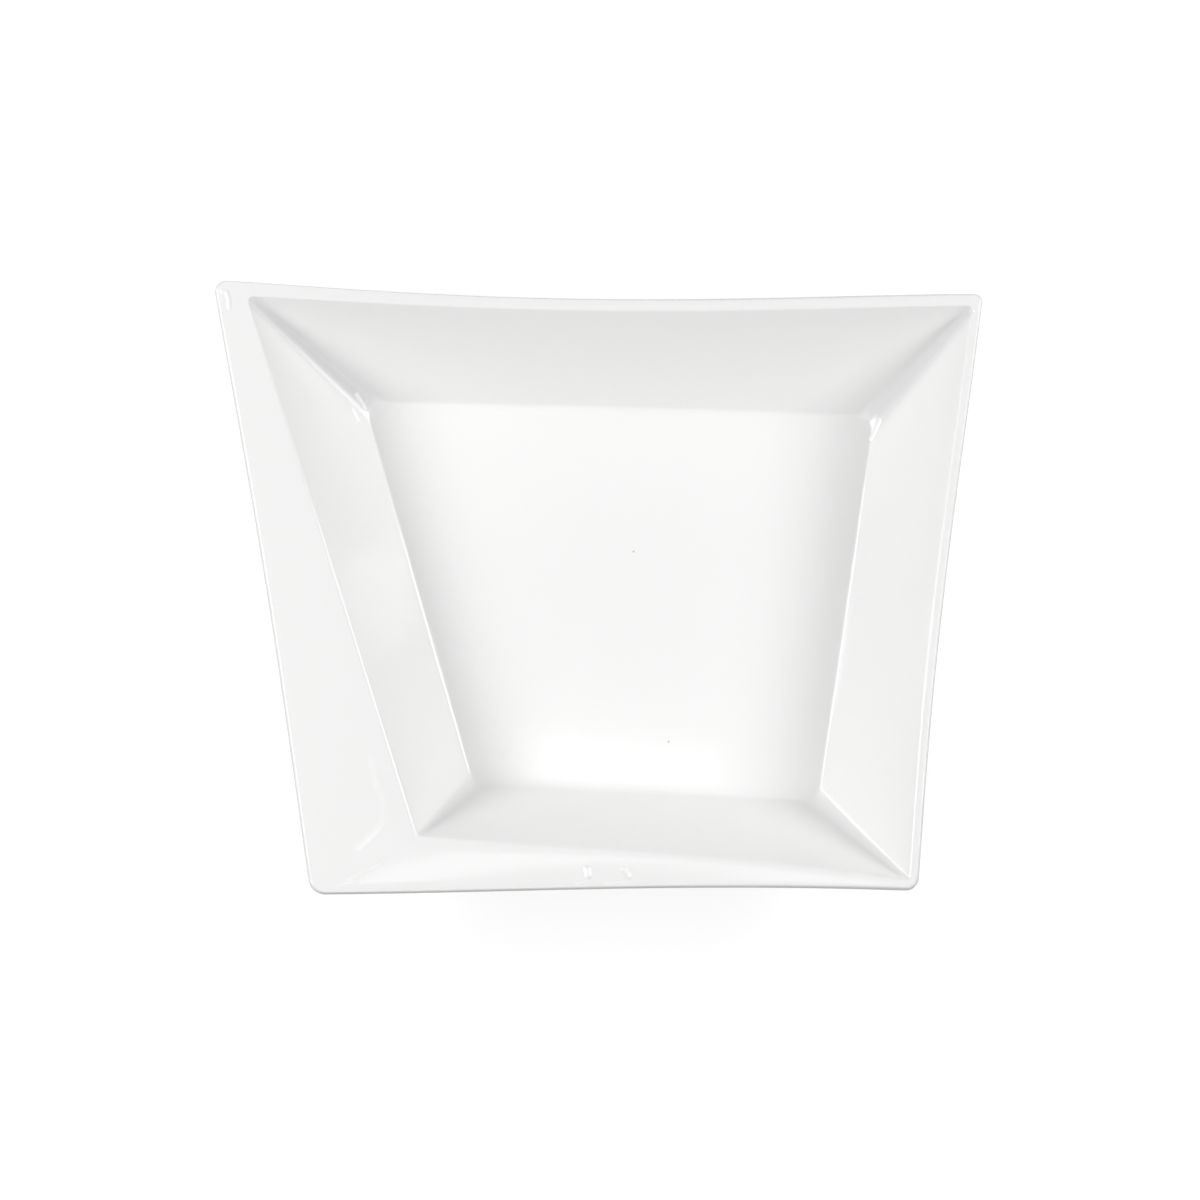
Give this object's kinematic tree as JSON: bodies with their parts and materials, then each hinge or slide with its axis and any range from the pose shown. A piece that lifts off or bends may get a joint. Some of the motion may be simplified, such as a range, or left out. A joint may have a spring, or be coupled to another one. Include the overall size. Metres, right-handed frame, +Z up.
{
  "type": "deep plate",
  "caption": "Deep white porcelain plate: a four-sided well with leaning walls in a lopsided rim that is a thin lip at the back and right and a broad wing at one corner.",
  "frame": {"origin": "on the table, under the middle of the rim's box", "axes": "+Z up, +X to the right along the long back edge, +Y to the back; the wing is at the front left, -X -Y"},
  "size_m": [0.251, 0.202, 0.0389],
  "materials": {
    "white_glaze": "glossy white glaze all over, with a bare matt standing face on the foot ring"
  },
  "bodies": {
    "root": {"plate": "white_glaze"}
  },
  "joints": []
}
